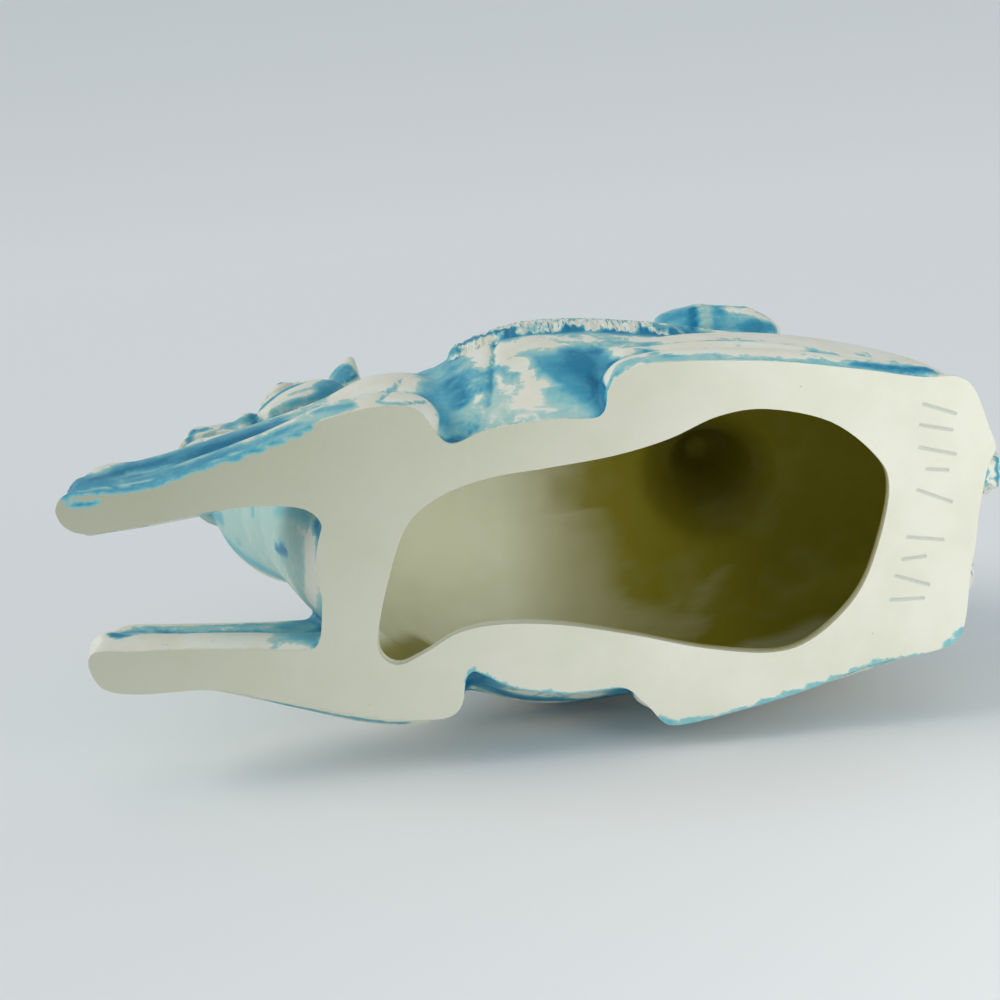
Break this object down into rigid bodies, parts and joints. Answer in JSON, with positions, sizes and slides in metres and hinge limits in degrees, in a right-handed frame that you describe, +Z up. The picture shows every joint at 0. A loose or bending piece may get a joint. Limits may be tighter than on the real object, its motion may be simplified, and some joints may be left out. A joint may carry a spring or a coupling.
{
  "type": "camel figurine",
  "caption": "Hollow cast camel resting on its folded legs, with a fringed blanket over the hump, a packed roll on each side and a flat open underside.",
  "frame": {"origin": "middle of the flat underside, under the middle of the figure's outer box", "axes": "-Y the way the camel's forelegs point, +X its left side, +Z up; it stands on z = 0"},
  "size_m": [0.104, 0.2358, 0.1727],
  "materials": {
    "bisque": "matte"
  },
  "bodies": {
    "root": {"camel": "bisque"}
  },
  "joints": []
}
